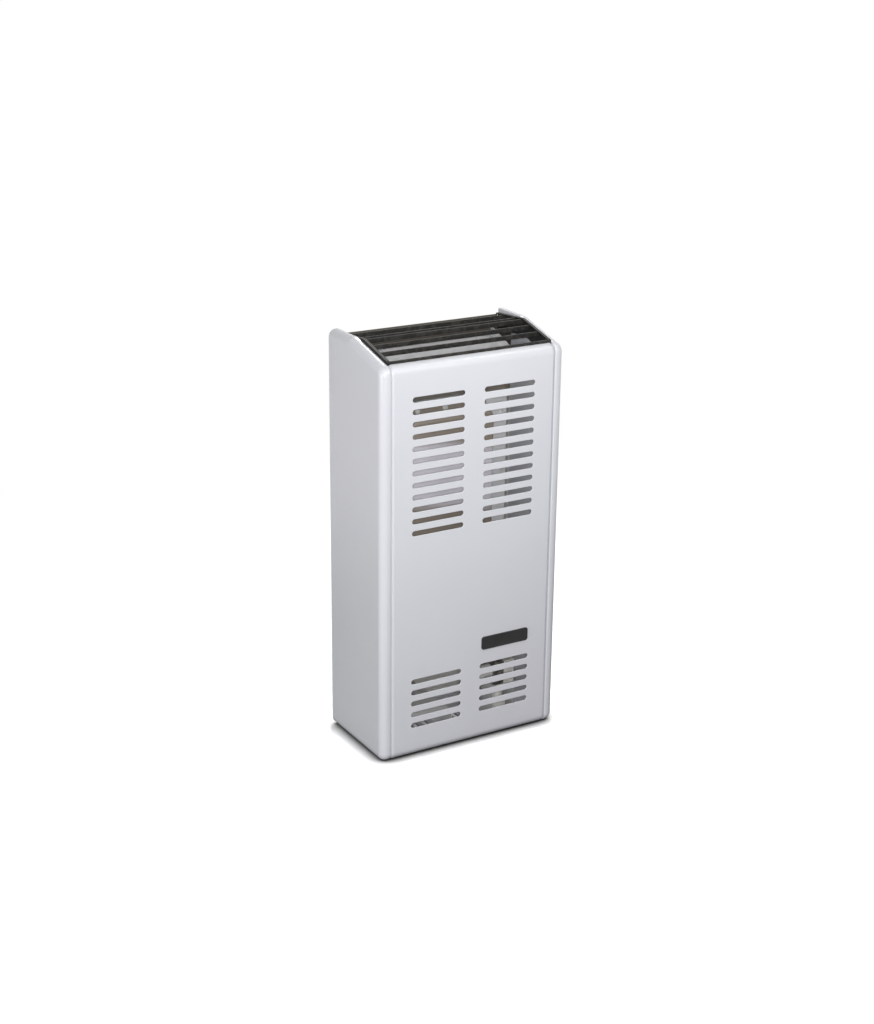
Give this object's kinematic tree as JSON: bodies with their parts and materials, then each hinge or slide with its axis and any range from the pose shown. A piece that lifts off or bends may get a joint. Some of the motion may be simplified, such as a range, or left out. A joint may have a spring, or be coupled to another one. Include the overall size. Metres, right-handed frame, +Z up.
{
  "type": "wall mounted gas heater",
  "caption": "Upright wall mounted gas heater: white sheet-steel cabinet with slotted front, black grille in its sloped top, side control knob and rear balanced flue.",
  "frame": {"origin": "on the wall plane, at the middle of the cabinet's width and at the height of its underside", "axes": "+X to the right seen from the front, +Y from the front into the wall, +Z up"},
  "size_m": [0.312, 0.1735, 0.596],
  "materials": {
    "white_enamel": "gloss white stove enamel",
    "black_enamel": "satin black stove enamel",
    "coated_steel": "dull aluminised sheet",
    "bright_steel": "bright aluminised sheet",
    "zinc_steel": "zinc plated",
    "heat_steel": "heat-tinted steel",
    "burner_steel": "heat-tinted stainless steel",
    "fibre_seal": "ceramic fibre",
    "sight_glass": "clear",
    "brass": "machined",
    "copper": "drawn copper",
    "ceramic": "glazed ceramic",
    "lead_rubber": "silicone",
    "tube_aluminium": "drawn",
    "cast_valve": "die cast",
    "black_plastic": "fine grain",
    "button_plastic": "smooth"
  },
  "bodies": {
    "cabinet": {"front_panel": "white_enamel", "left_cheek": "white_enamel", "right_cheek": "white_enamel", "badge_plate": "black_plastic", "base_tray": "white_enamel", "inlet_shield": "white_enamel", "back_plate": "coated_steel", "grille_end_left": "black_enamel", "grille_end_right": "black_enamel", "grille_front_rail": "black_enamel", "grille_bar_1": "black_enamel", "grille_bar_2": "black_enamel", "grille_bar_3": "black_enamel", "grille_bar_4": "black_enamel", "grille_back_rail": "black_enamel", "grille_rivets": "black_enamel", "panel_screws": "zinc_steel", "warm_air_deflector": "bright_steel", "chamber_front_shell": "heat_steel", "chamber_rear_shell": "heat_steel", "chamber_gasket": "fibre_seal", "chamber_screws": "zinc_steel", "sight_glass": "sight_glass", "sight_frame": "bright_steel", "sight_screws": "zinc_steel", "chamber_brackets": "zinc_steel", "bracket_rivets": "zinc_steel", "air_duct": "zinc_steel", "duct_walls": "zinc_steel", "intake_collar": "bright_steel", "exhaust_pipe": "bright_steel", "flue_gasket": "fibre_seal", "burner_tube": "burner_steel", "burner_brackets": "zinc_steel", "injector": "brass", "injector_holder": "brass", "pilot_burner": "brass", "pilot_plate": "zinc_steel", "thermocouple": "copper", "spark_electrode": "ceramic", "ignition_lead": "lead_rubber", "pilot_tube": "copper", "gas_tube": "tube_aluminium", "tube_nuts": "brass", "gas_valve_body": "cast_valve", "valve_bonnet": "cast_valve", "bonnet_screws": "zinc_steel", "magnet_unit": "tube_aluminium", "valve_bracket": "zinc_steel", "gas_inlet_union": "brass", "igniter_barrel": "black_plastic", "igniter_nut": "black_plastic", "control_plate": "black_plastic"},
    "plug": {"taper_plug": "brass"},
    "knob": {"valve_spindle": "zinc_steel", "control_knob": "black_plastic"},
    "safety_disc": {"safety_disc": "zinc_steel"},
    "igniter_button": {"igniter_button": "button_plastic"},
    "air_shutter": {"air_shutter": "zinc_steel"}
  },
  "joints": [
    {"name": "plug_turn", "type": "hinge", "parent": "cabinet", "child": "plug", "pos_m": [0.083, -0.095, 0.076], "axis": [1, 0, 0], "range_deg": [0, 210]},
    {"name": "knob_push", "type": "slide", "parent": "plug", "child": "knob", "axis": [-1, 0, 0], "range_m": [0, 0.0035], "stiffness_N_per_m": 1500, "springref_m": -0.004},
    {"name": "safety_disc_open", "type": "slide", "parent": "cabinet", "child": "safety_disc", "axis": [-1, 0, 0], "range_m": [0, 0.0035]},
    {"name": "igniter_push", "type": "slide", "parent": "cabinet", "child": "igniter_button", "axis": [-1, 0, 0], "range_m": [0, 0.006], "stiffness_N_per_m": 2500, "springref_m": -0.004},
    {"name": "air_shutter_turn", "type": "hinge", "parent": "cabinet", "child": "air_shutter", "pos_m": [0.055, -0.052, 0.142], "axis": [1, 0, 0], "range_deg": [0, 45]}
  ],
  "couplings": [
    {"joint": "safety_disc_open", "follows": "knob_push", "ratio": 1}
  ]
}
